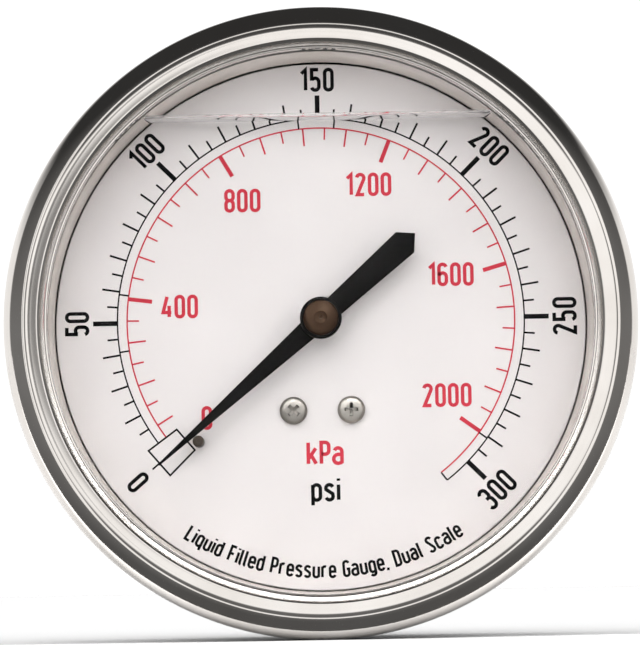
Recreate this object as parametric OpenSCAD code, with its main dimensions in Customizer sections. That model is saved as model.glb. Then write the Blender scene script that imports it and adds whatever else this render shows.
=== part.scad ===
// Dial pressure gauge, 100 mm class, liquid filled, with its connection low on the back.
// Millimetres. +Z is up, the dial faces -Y, and the origin is the centre of the stem's free end.
// Every sub-part is drawn in the gauge's own front view: x to the right, y up from the pointer's
// axis, and z towards the reader, counted from the outside of the case back.

/* [Case] */
// Outer diameter of the case cup
case_d = 100; // [99:0.5:101]
// Depth from the front of the bezel to the outside of the case back
body_depth = 48; // [48:0.5:52]
// Thickness of the case's side wall
case_wall = 1; // [0.8:0.1:1.2]
// Thickness of the case's back
case_back = 1.2; // [1:0.1:1.4]
// Distance of the stem's axis below the pointer's axis
stem_drop = 30; // [29.5:0.25:30.5]
// Height of the pointer's axis above the axis of the case
axis_rise = 0.85; // [0:0.05:1]

/* [Bezel and window] */
// Outer diameter of the bezel ring
bezel_d = 110; // [110:0.5:112]
// Depth of the bezel ring
bezel_h = 16; // [14:0.5:18]
// Thickness of the bezel's metal
bezel_wall = 1.2; // [1:0.1:1.3]
// Radius of the opening inside the bezel's lip
lip_r = 47.2; // [47.1:0.1:48.2]
// Number of bayonet tabs inside the bezel
tab_count = 6; // [4:1:8]
// Radius of the window
window_r = 51.9; // [51.5:0.1:52]
// Thickness of the window
window_t = 4; // [3:0.5:4]

/* [Dial] */
// Radius of the dial plate
dial_r = 46.6; // [45:0.1:46.8]
// Thickness of the dial plate
dial_t = 0.8; // [0.6:0.1:1]
// Height of the dial's front face above the case back
dial_z = 32.5; // [32.3:0.1:33]
// Distance between the two dial screws
dial_screw_pitch = 10.15; // [9:0.05:12]
// Distance of the dial screws below the pointer's axis
dial_screw_drop = 15.9; // [15:0.1:17]
// Diameter of a dial screw's head
dial_screw_head = 4.85; // [4.5:0.05:5]

/* [Pointer] */
// Clock angle of the pointer at rest, in degrees from twelve o'clock
zero_clock = 228.8; // [228.5:0.1:230]
// Turn of the pointer from rest to full scale
pointer_sweep = 266.2; // [260:0.1:270]
// Length from the axis to the pointer's tip
pointer_tip = 38.2; // [30:0.1:40]
// Length from the axis to the end of the pointer's tail
pointer_tail = 22.3; // [18:0.1:24]
// Radius of the pointer's hub
hub_r = 3.65; // [3.3:0.05:4]
// Distance of the stop pin from the pointer's axis
stop_pin_dist = 30.3; // [28:0.1:34]
// Radius of the stop pin
stop_pin_r = 1; // [0.8:0.1:1.2]

/* [Movement] */
// Module of the pinion's and the sector's teeth
gear_m = 0.3; // [0.3:0.05:0.3]
// Number of teeth on the pinion
pinion_teeth = 14; // [14:1:14]
// Number of teeth on a full circle of the sector's size
sector_full_teeth = 112; // [112:1:112]
// Height of the back plate's rear face above the case back
movement_z = 20; // [20:0.1:20.2]
// Thickness of each movement plate
plate_t = 1.5; // [1.2:0.1:1.5]
// Space between the two movement plates
plate_gap = 6; // [6:0.1:6.2]
// Length of the sector's tail, from its arbor to the link's pin
tail_len = 6.5; // [6:0.1:7]
// Number of turns in the hairspring
hairspring_turns = 5; // [4:1:6]

/* [Bourdon tube] */
// Radius of the tube's curve
tube_r = 34; // [33.5:0.1:34.5]
// Width of the flattened tube across its thin side
tube_thin = 5; // [4.5:0.1:5]
// Width of the flattened tube across its wide side
tube_wide = 12; // [10:0.5:12]
// Wall thickness of the tube
tube_wall = 0.6; // [0.4:0.1:0.8]

/* [Stem] */
// Length of the stem behind the case back
stem_len = 32; // [28:1:36]
// Radius of the connection thread, over its crests
thread_r = 6.8; // [6.6:0.1:7]
// Length of the connection thread
thread_len = 16; // [14:1:17]
// Distance across the flats of the wrench hexagon
wrench_flats = 17; // [16:0.5:17]
// Radius of the pressure bore
bore_r = 2; // [1.5:0.1:2.5]

/* [Hidden] */

round_fn = 96;
hole_fn = 48;
cut = 0.5;

steel = [0.78, 0.78, 0.77];
satin_steel = [0.66, 0.66, 0.65];
brass = [0.78, 0.64, 0.36];
black = [0.06, 0.06, 0.06];
off_white = [0.92, 0.90, 0.86];
rubber = [0.10, 0.10, 0.11];

// Case and bezel
case_r = case_d / 2;
case_in_r = case_r - case_wall;
bezel_r = bezel_d / 2;
bezel_in_r = bezel_r - bezel_wall;
window_front_z = body_depth - 3;
window_back_z = window_front_z - window_t;
gasket_floor = 1.2;
rim_z = window_back_z - gasket_floor;
rim_t = 1.2;
rim_r = bezel_in_r - 0.5;
lip_gap = 0.05;
bead_r = 4.7;
bead_c = [bezel_r - bead_r, body_depth - bead_r];
tab_angle = 54 / tab_count * 2;
tab_in_r = case_r + 1.4;
tab_z = rim_z - rim_t - 2;
tab_t = 1.6;
notch_angle = tab_angle + 6;
notch_in_r = case_r + 1;
gasket_r = rim_r;
gasket_top_z = window_front_z - 0.3;
skirt_top_r = lip_r + 0.2;
skirt_foot_r = dial_r + 0.2;
skirt_t = 0.6;
skirt_gap = 0.3;

// Levels of the movement, counted from the case back
back_plate_top = movement_z + plate_t;
front_plate_z = back_plate_top + plate_gap;
front_plate_top = front_plate_z + plate_t;
sector_z = back_plate_top + 3;
sector_t = 1;
link_z = sector_z + sector_t + 0.2;
link_t = 0.8;
pin_head_z = link_z + link_t + 0.1;
pin_head_t = 0.5;
shoulder_gap = 0.1;
run_gap = 0.03;
pivot_r = 0.6;
arbor_r = 1.2;
arbor_top_r = 1;
pinion_face = 3;
pinion_z = back_plate_top + 2;

// Places in the movement
axis_o = [0, 0];
sector_c = [10.8, -15.5];
tip_pivot = [21.54, -10.11];
pillar_places = [[-11, 5], [11, 7], [-6, -22.5], [11, -25.5]];
movement_screw_places = [[-5, -28], [5, -28]];
stud_dist = 8.6;
stud_angle = 100;
tail_angle = -48.9;
tail_pin = sector_c + tail_len * [cos(tail_angle), sin(tail_angle)];
pillar_r = 1.9;
bush_r = 2;
sector_bush_r = 1.8;
link_pin_r = 0.75;
open_pivot_gap = 0.25;
plate_end_r = 3.2;
plate_arm_w = 2.7;
plate_disc_r = 6.5;

// Gears: the sector stands so that one of its teeth points at the pinion's axis at rest
pinion_pitch_r = gear_m * pinion_teeth / 2;
sector_pitch_r = gear_m * sector_full_teeth / 2;
sector_dir = atan2(-sector_c[1], -sector_c[0]);
gear_ratio = sector_full_teeth / pinion_teeth;
sector_travel = pointer_sweep / gear_ratio;
tooth_step = 360 / sector_full_teeth;
teeth_before = ceil(sector_travel / tooth_step) + 2;
teeth_after = 2;
tooth_backlash = 0.1;
pressure_angle = 20;
sector_rim_w = 3;

// Pointer
pointer_angle = 90 - zero_clock;
pointer_z = dial_z + 3.6;
pointer_t = 0.8;
hub_foot_z = pointer_z - 0.8;
hub_top_z = pointer_z + 2.8;
hub_neck_r = 2;
hub_foot_r = 2.6;
cap_r = 3.1;
cap_seat_z = hub_top_z - 0.6;
cap_top_z = hub_top_z + 0.7;
pointer_half_w = 1.85;
pointer_tip_half_w = 0.18;
tail_half_w = 1.78;
tail_end_half_w = 2.4;
pointer_boss_r = 3.2;
// The stop pin stands just clear of the resting pointer's edge
stop_gap = 0.04;
half_w_at_stop = pointer_tip_half_w + (pointer_half_w - pointer_tip_half_w)
    * max(0, pointer_tip - stop_pin_dist) / (pointer_tip - hub_neck_r);
stop_clock = zero_clock - asin((half_w_at_stop + stop_pin_r + stop_gap) / stop_pin_dist);

// Tube and socket
tube_start_angle = 262;
tube_end_angle = -15;
tube_z = 13;
tip_angle = 7;
tip_margin = 0.7;
tip_post = [31.8, -10.3];
tip_arm_r = 2;
tip_arm_t = 1.2;
tip_arm_z = sector_z - 0.2;
stem_c = [0, -stem_drop];
flange_r = 16;
flange_t = 4;
block_half_w = 9;
block_low = -38;
block_high = -21;
neck_r = 10;
neck_gap = 0.2;
neck_len = 2;
relief_len = 2;
relief_r = 5.6;
seal_r = 0.8;
seal_ring_r = 11.6;
socket_screw_r = 1.5;
socket_screw_dist = 14;
socket_screw_angles = [90, 210, 330];
restrictor_seat = 6;
restrictor_r = 3;
plug_z = 18;
plug_neck_r = 5;
plug_head_r = 7;
plug_proud = 3.2;

// A point at distance r and direction a
function polar(r, a) = [r * cos(a), r * sin(a)];

// Points on an arc about c, from direction a0 to a1
function arc_points(c, r, a0, a1, n) = [for (i = [0:n]) c + polar(r, a0 + (a1 - a0) * i / n)];

// Points on a spiral whose radius grows evenly from r0 to r1
function spiral_points(r0, r1, a0, turns, n) =
    [for (i = [0:n]) polar(r0 + (r1 - r0) * i / n, a0 + 360 * turns * i / n)];

// A list in reverse order
function backwards(v) = [for (i = [len(v) - 1:-1:0]) v[i]];

// Involute of a base circle, as the angle that it has turned at radius r
function involute_turn(base_r, r) = let (t = sqrt(max(0, pow(r / base_r, 2) - 1))) t * 180 / PI - atan(t);

// Half the angle that a tooth fills at radius r
function tooth_half_angle(pitch_r, r) =
    let (base_r = pitch_r * cos(pressure_angle))
    let (at_pitch = (PI * gear_m / 2 - tooth_backlash) / 2 / pitch_r * 180 / PI)
    at_pitch + involute_turn(base_r, pitch_r) - involute_turn(base_r, max(base_r, r));

// Outline of one tooth that points along direction a, from its root to its tip and back
function tooth_points(pitch_r, a) =
    let (root_r = pitch_r - 1.7 * gear_m, tip_r = pitch_r + 0.9 * gear_m, steps = 5)
    let (radii = [for (i = [0:steps]) root_r + (tip_r - root_r) * i / steps])
    concat(
        [for (r = radii) polar(r, a - tooth_half_angle(pitch_r, r))],
        [for (r = backwards(radii)) polar(r, a + tooth_half_angle(pitch_r, r))]
    );

// Puts the front view's axes into the part's frame
module front_view() {
    translate([0, -stem_len, stem_drop]) rotate([90, 0, 0]) children();
}

// An upright cylinder at place p from height z0 to z1
module post(p, r, z0, z1, fn = hole_fn) {
    translate([p[0], p[1], z0]) cylinder(r = r, h = z1 - z0, $fn = fn);
}

// A flat strip from the middle of one disc at place p to the middle of another at place q
module arm(p, q, half_w) {
    d = q - p;
    translate(p) rotate(atan2(d[1], d[0])) translate([0, -half_w]) square([norm(d), 2 * half_w]);
}

// A disc at place p
module disc(p, r) {
    translate(p) circle(r = r, $fn = hole_fn);
}

// Moves what is drawn about the pointer's axis onto the axis of the case
module on_case_axis() {
    translate([0, -axis_rise, 0]) children();
}

// A lathe solid from its half outline
module lathe(points) {
    rotate_extrude($fn = round_fn) polygon(points);
}

// A ring segment about the pointer's axis, centred on direction a
module ring_segment(r0, r1, z0, h, a, width) {
    rotate([0, 0, a - width / 2])
        rotate_extrude(angle = width, $fn = round_fn) translate([r0, z0]) square([r1 - r0, h]);
}

// The flattened tube's outline, made smaller all round by inset
module tube_outline(inset = 0) {
    r = tube_thin / 2 - inset;
    reach = (tube_wide - tube_thin) / 2;
    for (side = [-1, 1]) translate([tube_r, tube_z + side * reach]) circle(r = r, $fn = hole_fn);
    translate([tube_r - r, tube_z - reach]) square([2 * r, 2 * reach]);
}

// The tube's sweep from its tip to its root
module tube_sweep(inset = 0) {
    rotate([0, 0, tube_end_angle])
        rotate_extrude(angle = tube_start_angle - tube_end_angle, $fn = round_fn) tube_outline(inset);
}

// A cross recess for a screw, cut down from height z
module cross_recess(p, z, size, depth, turn) {
    for (a = [0, 90])
        translate([p[0], p[1], z - depth]) rotate([0, 0, turn + a])
            translate([-size / 2, -size / 8, 0]) cube([size, size / 4, depth + cut]);
}

// A domed screw head from height z up
module pan_head(p, r, z, h) {
    translate([p[0], p[1], z])
        rotate_extrude($fn = hole_fn)
            polygon([[0, 0], [r, 0], [r, h * 0.45], [r * 0.86, h * 0.75], [r * 0.6, h * 0.93], [0, h]]);
}

module case() {
    color(satin_steel) difference() {
        on_case_axis() lathe([
            [0, 0], [case_r - 1.5, 0], [case_r - 0.4, 0.4], [case_r, 1.5],
            [case_r, rim_z - rim_t - 1.2], [case_r + 0.6, rim_z - rim_t],
            [rim_r, rim_z - rim_t], [rim_r, rim_z], [case_in_r, rim_z],
            [case_in_r, case_back + 1], [case_in_r - 1, case_back], [0, case_back]
        ]);
        on_case_axis() for (i = [0:tab_count - 1])
            ring_segment(notch_in_r, rim_r + cut, rim_z - rim_t - cut, rim_t + 2 * cut,
                         (i + 0.5) * 360 / tab_count, notch_angle);
        post(stem_c, neck_r + neck_gap, -cut, case_back + cut);
        for (a = socket_screw_angles)
            post(stem_c + polar(socket_screw_dist, a), socket_screw_r + 0.15, -cut, case_back + cut);
        on_case_axis() translate([0, case_r - 3, plug_z])
            rotate([-90, 0, 0]) cylinder(r = plug_neck_r, h = 6, $fn = hole_fn);
    }
}

module bezel_ring() {
    inner_r = bead_r - bezel_wall;
    color(steel) on_case_axis() {
        lathe(concat(
            [[bezel_r, body_depth - bezel_h]],
            arc_points(bead_c, bead_r, 0, 105, 12),
            [[lip_r + 0.5, body_depth - 1.1], [lip_r, body_depth - 1.8], [lip_r, window_front_z + lip_gap],
             [lip_r + 1.4, window_front_z + lip_gap]],
            arc_points(bead_c, inner_r, 90, 0, 8),
            [[bezel_in_r, body_depth - bezel_h]]
        ));
        for (i = [0:tab_count - 1])
            ring_segment(tab_in_r, bezel_in_r + bezel_wall / 2, tab_z, tab_t, i * 360 / tab_count, tab_angle);
    }
}

module window() {
    color([0.8, 0.9, 0.95, 0.3]) on_case_axis()
        post(axis_o, window_r, window_back_z, window_front_z, round_fn);
}

module window_gasket() {
    color(off_white) on_case_axis() lathe([
        [gasket_r, rim_z], [gasket_r, gasket_top_z], [window_r + 0.05, gasket_top_z],
        [window_r + 0.05, window_back_z], [skirt_top_r, window_back_z], [skirt_foot_r, dial_z + skirt_gap],
        [skirt_foot_r + skirt_t, dial_z + skirt_gap], [skirt_top_r + skirt_t - 0.1, rim_z]
    ]);
}

function dial_screw_places() = [for (side = [-1, 1]) [side * dial_screw_pitch / 2, -dial_screw_drop]];

module dial() {
    color("white") difference() {
        on_case_axis() post(axis_o, dial_r, dial_z - dial_t, dial_z, round_fn);
        post(axis_o, 3, dial_z - dial_t - cut, dial_z + cut);
        for (p = dial_screw_places()) post(p, 1.4, dial_z - dial_t - cut, dial_z + cut);
        post(polar(stop_pin_dist, 90 - stop_clock), 0.7, dial_z - dial_t - cut, dial_z + cut);
    }
}

module dial_screws() {
    head_h = 1.5;
    turns = [45, 0];
    color(satin_steel) for (i = [0, 1]) let (p = dial_screw_places()[i]) difference() {
        union() {
            pan_head(p, dial_screw_head / 2, dial_z, head_h);
            post(p, 1.25, front_plate_top + 0.3, dial_z);
        }
        cross_recess(p, dial_z + head_h, 2.6, 1, turns[i]);
    }
}

module dial_posts() {
    color(brass) for (p = dial_screw_places()) difference() {
        post(p, 2.5, front_plate_top, dial_z - dial_t);
        post(p, 1.3, front_plate_top - cut, dial_z);
    }
}

module stop_pin() {
    place = polar(stop_pin_dist, 90 - stop_clock);
    color(black) {
        post(place, stop_pin_r, dial_z, pointer_z + pointer_t + 0.2);
        post(place, 0.7, dial_z - dial_t - 0.5, dial_z);
    }
}

module pointer() {
    shoulder = pointer_tail - tail_end_half_w;
    color(black) rotate([0, 0, pointer_angle]) translate([0, 0, pointer_z]) linear_extrude(pointer_t)
        difference() {
            union() {
                polygon([
                    [pointer_tip, pointer_tip_half_w], [hub_neck_r, pointer_half_w],
                    [-hub_neck_r, tail_half_w],
                    [-shoulder, tail_end_half_w], [-pointer_tail, 0], [-shoulder, -tail_end_half_w],
                    [-hub_neck_r, -tail_half_w], [hub_neck_r, -pointer_half_w],
                    [pointer_tip, -pointer_tip_half_w]
                ]);
                circle(r = pointer_boss_r, $fn = hole_fn);
            }
            circle(r = hub_neck_r, $fn = hole_fn);
        }
}

module pointer_hub() {
    color(black) difference() {
        union() {
            post(axis_o, hub_foot_r, hub_foot_z, pointer_z);
            post(axis_o, hub_neck_r, pointer_z, pointer_z + pointer_t);
            post(axis_o, hub_r, pointer_z + pointer_t, hub_top_z);
        }
        post(axis_o, arbor_top_r, hub_foot_z - cut, cap_seat_z);
        post(axis_o, cap_r, cap_seat_z, hub_top_z + cut);
    }
}

module hub_cap() {
    rise = cap_top_z - hub_top_z;
    dome_r = (cap_r * cap_r + rise * rise) / (2 * rise);
    color(brass) rotate_extrude($fn = hole_fn) polygon(concat(
        [[0, cap_seat_z], [cap_r, cap_seat_z]],
        arc_points([0, cap_top_z - dome_r], dome_r, 90 - asin(cap_r / dome_r), 90, 8)
    ));
}

module pinion() {
    color(brass) {
        post(axis_o, pivot_r, movement_z - 0.3, back_plate_top + shoulder_gap);
        post(axis_o, arbor_r, back_plate_top + shoulder_gap, front_plate_z - shoulder_gap);
        post(axis_o, arbor_top_r, front_plate_z - shoulder_gap, cap_seat_z);
        translate([0, 0, pinion_z]) linear_extrude(pinion_face) union() {
            circle(r = pinion_pitch_r - 1.2 * gear_m, $fn = hole_fn);
            for (i = [0:pinion_teeth - 1])
                polygon(tooth_points(pinion_pitch_r, sector_dir + 180 + (i + 0.5) * 360 / pinion_teeth));
        }
    }
}

spring_z = back_plate_top + 0.6;
spring_h = 0.6;
spring_t = 0.16;
collet_r = 1.9;

module hairspring_collet() {
    color(brass) difference() {
        post(axis_o, collet_r, spring_z - 0.2, spring_z + spring_h + 0.2);
        post(axis_o, arbor_r, spring_z - cut, spring_z + spring_h + cut);
    }
}

module hairspring() {
    steps = 40 * hairspring_turns;
    outer_r = stud_dist - 0.4;
    turns = hairspring_turns;
    color([0.55, 0.6, 0.75]) translate([0, 0, spring_z]) linear_extrude(spring_h) polygon(concat(
        spiral_points(collet_r + 0.02, outer_r, stud_angle, turns, steps),
        backwards(spiral_points(collet_r + 0.02 + spring_t, outer_r + spring_t, stud_angle, turns, steps))
    ));
}

module hairspring_stud() {
    place = polar(stud_dist + 0.6, stud_angle);
    color(brass) post(place, 0.8, back_plate_top, spring_z + spring_h + 0.6);
}

// A movement plate's outline: a disc at each place, and arms between them
module plate_outline(places) {
    disc(axis_o, plate_disc_r);
    disc(sector_c, plate_end_r);
    arm(axis_o, sector_c, plate_arm_w);
    for (p = places) {
        disc(p, plate_end_r);
        arm(axis_o, p, plate_arm_w);
    }
    arm(pillar_places[2], pillar_places[3], plate_arm_w);
    arm(sector_c, pillar_places[3], plate_arm_w);
}

module plate_holes(z) {
    post(axis_o, bush_r, z - cut, z + plate_t + cut);
    post(sector_c, sector_bush_r, z - cut, z + plate_t + cut);
}

module front_plate() {
    color(brass) difference() {
        translate([0, 0, front_plate_z]) linear_extrude(plate_t)
            plate_outline(concat(pillar_places, dial_screw_places()));
        plate_holes(front_plate_z);
        for (p = dial_screw_places()) post(p, 1.3, front_plate_z - cut, front_plate_top + cut);
        for (p = pillar_places) post(p, 0.9, front_plate_z - cut, front_plate_top + cut);
    }
}

module back_plate() {
    color(brass) difference() {
        translate([0, 0, movement_z]) linear_extrude(plate_t) union() {
            plate_outline(concat(pillar_places, movement_screw_places));
            arm(axis_o, polar(stud_dist + 2.2, stud_angle), 1.8);
        }
        plate_holes(movement_z);
        for (p = movement_screw_places) post(p, 1.4, movement_z - cut, back_plate_top + cut);
    }
}

module plate_pillars() {
    color(brass) for (p = pillar_places) difference() {
        post(p, pillar_r, back_plate_top, front_plate_z);
        post(p, 0.8, front_plate_z - 4, front_plate_z + cut);
    }
}

module plate_screws() {
    color(satin_steel) for (p = pillar_places) difference() {
        union() {
            pan_head(p, 1.7, front_plate_top, 1.1);
            post(p, 0.8, front_plate_z - 3.6, front_plate_top);
        }
        translate([p[0] - 2, p[1] - 0.2, front_plate_top + 0.6]) cube([4, 0.4, 1]);
    }
}

module movement_screws() {
    color(satin_steel) for (p = movement_screw_places) difference() {
        union() {
            pan_head(p, 2.4, back_plate_top, 1.6);
            post(p, 1.25, movement_z - 5, back_plate_top);
        }
        cross_recess(p, back_plate_top + 1.6, 2.6, 1, 20);
    }
}

module bush(p, r, hole_r, z) {
    difference() {
        post(p, r, z, z + plate_t);
        post(p, hole_r, z - cut, z + plate_t + cut);
    }
}

module pinion_bushes() {
    color(steel) {
        bush(axis_o, bush_r, pivot_r + run_gap, movement_z);
        bush(axis_o, bush_r, arbor_top_r + run_gap, front_plate_z);
    }
}

module sector_bushes() {
    color(steel) for (z = [movement_z, front_plate_z])
        bush(sector_c, sector_bush_r, pivot_r + run_gap, z);
}

module sector_gear() {
    first = sector_dir - teeth_before * tooth_step;
    last = sector_dir + teeth_after * tooth_step;
    root_r = sector_pitch_r - 1.2 * gear_m;
    rim_mid_r = root_r - sector_rim_w / 2;
    color(brass) difference() {
        translate([sector_c[0], sector_c[1], sector_z]) linear_extrude(sector_t) union() {
            polygon(concat(
                arc_points([0, 0], root_r, first - 1, last + 1, 40),
                backwards(arc_points([0, 0], root_r - sector_rim_w, first - 1, last + 1, 40))
            ));
            for (i = [-teeth_before:teeth_after])
                polygon(tooth_points(sector_pitch_r, sector_dir + i * tooth_step));
            for (a = [first + 5, last - 5]) arm([0, 0], polar(rim_mid_r, a), 1.2);
            disc([0, 0], 2.8);
            disc(tail_pin - sector_c, 1.8);
            arm([0, 0], tail_pin - sector_c, 1.5);
        }
        post(sector_c, arbor_r, sector_z - cut, sector_z + sector_t + cut);
        post(tail_pin, link_pin_r, sector_z - cut, sector_z + sector_t + cut);
    }
}

module sector_arbor() {
    color(steel) {
        post(sector_c, pivot_r, movement_z - 0.2, front_plate_top + 0.2);
        post(sector_c, arbor_r, back_plate_top + shoulder_gap, front_plate_z - shoulder_gap);
    }
}

// A headed pin that the link turns on
module link_pin(p, z0) {
    post(p, link_pin_r, z0, pin_head_z);
    post(p, 1.4, pin_head_z, pin_head_z + pin_head_t);
}

module sector_pin() {
    color(steel) link_pin(tail_pin, sector_z - 0.3);
}

module tip_pin() {
    color(steel) link_pin(tip_pivot, tip_arm_z - 0.3);
}

module link() {
    color(brass) difference() {
        translate([0, 0, link_z]) linear_extrude(link_t) union() {
            arm(tail_pin, tip_pivot, 1);
            disc(tail_pin, 2);
            disc(tip_pivot, 2);
        }
        post(tail_pin, link_pin_r + open_pivot_gap, link_z - cut, link_z + link_t + cut);
        post(tip_pivot, link_pin_r + run_gap, link_z - cut, link_z + link_t + cut);
    }
}

module bourdon_tube() {
    color(steel) difference() {
        tube_sweep();
        tube_sweep(tube_wall);
    }
}

module tube_tip() {
    arm_top = tip_arm_z + tip_arm_t;
    block_top = tube_z + tube_wide / 2 + tip_margin;
    color(steel) difference() {
        union() {
            ring_segment(tube_r - tube_thin / 2 - tip_margin, tube_r + tube_thin / 2 + tip_margin,
                         block_top - tube_wide - 2 * tip_margin, tube_wide + 2 * tip_margin,
                         tube_end_angle - tip_angle / 2, tip_angle);
            post(tip_post, tip_arm_r - 0.4, block_top - 2, tip_arm_z + tip_arm_t / 2);
            translate([0, 0, tip_arm_z]) linear_extrude(tip_arm_t) union() {
                arm(tip_post, tip_pivot, tip_arm_r - 0.3);
                disc(tip_post, tip_arm_r);
                disc(tip_pivot, tip_arm_r);
            }
        }
        post(tip_pivot, link_pin_r, tip_arm_z - cut, arm_top + cut);
    }
}

module socket() {
    hex_r = wrench_flats / 2 / cos(30);
    thread_top = thread_len - stem_len;
    hex_low = thread_top + relief_len;
    root_end = polar(tube_r, tube_start_angle);
    to_root = root_end - stem_c;
    color(steel) difference() {
        union() {
            post(stem_c, thread_r, -stem_len, thread_top, round_fn);
            post(stem_c, relief_r, -stem_len, 0, round_fn);
            translate([0, -stem_drop, hex_low]) rotate([0, 0, 30])
                cylinder(r = hex_r, h = -neck_len - hex_low, $fn = 6);
            post(stem_c, neck_r, -neck_len, case_back + 1, round_fn);
            post(stem_c, flange_r, case_back, case_back + flange_t, round_fn);
            translate([-block_half_w, block_low, case_back + 1])
                cube([2 * block_half_w, block_high - block_low, movement_z - case_back - 1]);
        }
        post(stem_c, restrictor_r, -stem_len - cut, restrictor_seat - stem_len);
        post(stem_c, bore_r, -stem_len, tube_z + bore_r);
        translate([0, -stem_drop, tube_z]) rotate([0, 90, atan2(to_root[1], to_root[0])])
            cylinder(r = 1.5, h = norm(to_root) + 0.3, $fn = hole_fn);
        tube_sweep();
        translate([0, -stem_drop, case_back])
            rotate_extrude($fn = round_fn) translate([seal_ring_r - 1.1, -cut])
                square([2.2, 2 * seal_r + cut]);
        for (a = socket_screw_angles)
            post(stem_c + polar(socket_screw_dist, a), socket_screw_r, case_back - cut,
                 case_back + flange_t - 0.4);
        for (p = movement_screw_places) post(p, 1.25, movement_z - 6, movement_z + cut);
    }
}

module socket_seal() {
    color(rubber) translate([0, -stem_drop, case_back + seal_r])
        rotate_extrude($fn = round_fn) translate([seal_ring_r, 0]) circle(r = seal_r, $fn = hole_fn);
}

module socket_screws() {
    color(satin_steel) for (a = socket_screw_angles)
        let (p = stem_c + polar(socket_screw_dist, a)) difference() {
        union() {
            mirror([0, 0, 1]) pan_head(p, 2.75, 0, 1.8);
            post(p, socket_screw_r, 0, case_back + flange_t - 0.8);
        }
        mirror([0, 0, 1]) cross_recess(p, 1.8, 2.8, 1.1, a);
    }
}

module restrictor_screw() {
    low = 2 - stem_len;
    color(brass) difference() {
        post(stem_c, restrictor_r, low, restrictor_seat - stem_len);
        post(stem_c, 0.5, low - cut, restrictor_seat - stem_len + cut);
        translate([-restrictor_r - cut, -stem_drop - 0.4, low - cut])
            cube([2 * (restrictor_r + cut), 0.8, cut + 1]);
    }
}

module fill_plug() {
    color(rubber) on_case_axis() translate([0, 0, plug_z]) rotate([-90, 0, 0]) difference() {
        union() {
            difference() {
                translate([0, 0, case_r - 2]) cylinder(r = plug_head_r, h = plug_proud + 2, $fn = hole_fn);
                rotate([90, 0, 0]) cylinder(r = case_r, h = 40, center = true, $fn = round_fn);
            }
            translate([0, 0, case_r - 3.5]) cylinder(r = plug_neck_r, h = 5, $fn = hole_fn);
        }
        translate([0, 0, case_r + plug_proud - 0.8]) cylinder(r = 3, h = 2, $fn = hole_fn);
    }
}

front_view() {
    case();
    bezel_ring();
    window();
    window_gasket();
    dial();
    dial_screws();
    dial_posts();
    stop_pin();
    pointer();
    pointer_hub();
    hub_cap();
    pinion();
    hairspring_collet();
    hairspring();
    hairspring_stud();
    front_plate();
    back_plate();
    plate_pillars();
    plate_screws();
    movement_screws();
    pinion_bushes();
    sector_bushes();
    sector_gear();
    sector_arbor();
    sector_pin();
    link();
    tip_pin();
    bourdon_tube();
    tube_tip();
    socket();
    socket_seal();
    socket_screws();
    restrictor_screw();
    fill_plug();
}
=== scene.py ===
import math

import bmesh
import bpy
import numpy as np
from mathutils import Matrix, Vector


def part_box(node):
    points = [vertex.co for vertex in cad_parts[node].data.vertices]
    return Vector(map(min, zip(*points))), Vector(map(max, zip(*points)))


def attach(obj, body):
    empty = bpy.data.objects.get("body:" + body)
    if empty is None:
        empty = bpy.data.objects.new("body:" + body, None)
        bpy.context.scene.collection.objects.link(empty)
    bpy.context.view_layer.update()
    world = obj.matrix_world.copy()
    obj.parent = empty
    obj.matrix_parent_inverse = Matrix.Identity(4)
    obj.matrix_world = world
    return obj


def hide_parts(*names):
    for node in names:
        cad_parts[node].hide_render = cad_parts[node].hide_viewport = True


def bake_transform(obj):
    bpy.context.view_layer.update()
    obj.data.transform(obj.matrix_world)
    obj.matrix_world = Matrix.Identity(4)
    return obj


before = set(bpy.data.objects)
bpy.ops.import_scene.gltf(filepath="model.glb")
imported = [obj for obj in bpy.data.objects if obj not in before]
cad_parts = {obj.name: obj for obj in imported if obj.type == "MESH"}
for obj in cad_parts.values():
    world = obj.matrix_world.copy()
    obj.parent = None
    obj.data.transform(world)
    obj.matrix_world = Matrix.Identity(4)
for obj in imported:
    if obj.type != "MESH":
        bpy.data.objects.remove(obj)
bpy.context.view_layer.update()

# -------- the gauge's own front view
# Pieces are drawn in millimetres as seen from the front: x to the right and y up from the pointer's
# axis, z towards the reader from the outside of the case back. to_world() turns that into the frame.
# The case, bezel, window, gasket and dial plate are centred on CASE_C, just below the pointer's axis.
MM = 0.001
window_low, window_high = (Vector(v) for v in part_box("window"))
bezel_low = Vector(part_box("bezel_ring")[0])
cap_low, cap_high = (Vector(v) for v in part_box("hub_cap"))
AXIS_X = (cap_low.x + cap_high.x) / 2
AXIS_Z = (cap_low.z + cap_high.z) / 2
CASE_Z = (window_low.z + window_high.z) / 2
RISE = (AXIS_Z - CASE_Z) / MM
CASE_C = (0.0, -RISE)
BACK_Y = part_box("case")[1][1]


def to_world(points):
    p = np.asarray(points, float).reshape(-1, 3) * MM
    return np.column_stack((AXIS_X + p[:, 0], BACK_Y - p[:, 2], AXIS_Z + p[:, 1]))


def depth_of(y):
    """The front view's z of a world y."""
    return (BACK_Y - y) / MM


def polar(r, a):
    """A point in the front view at radius r and direction a in degrees, counted from +x."""
    return (r * math.cos(math.radians(a)), r * math.sin(math.radians(a)))


def clock(r, a):
    """A point in the front view at radius r and clock angle a in degrees, counted from twelve."""
    return polar(r, 90 - a)


FRONT_Z = depth_of(bezel_low.y)
WINDOW_BACK_Z = depth_of(window_high.y)
WINDOW_FRONT_Z = depth_of(window_low.y)
DIAL_Z = depth_of(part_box("dial")[0][1])
DIAL_BACK_Z = depth_of(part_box("dial")[1][1])
POINTER_Z = depth_of(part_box("pointer")[1][1])
POINTER_TOP_Z = depth_of(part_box("pointer")[0][1])
STEM_END_Z = depth_of(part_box("socket")[1][1])
STEM_Y = -AXIS_Z / MM

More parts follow.
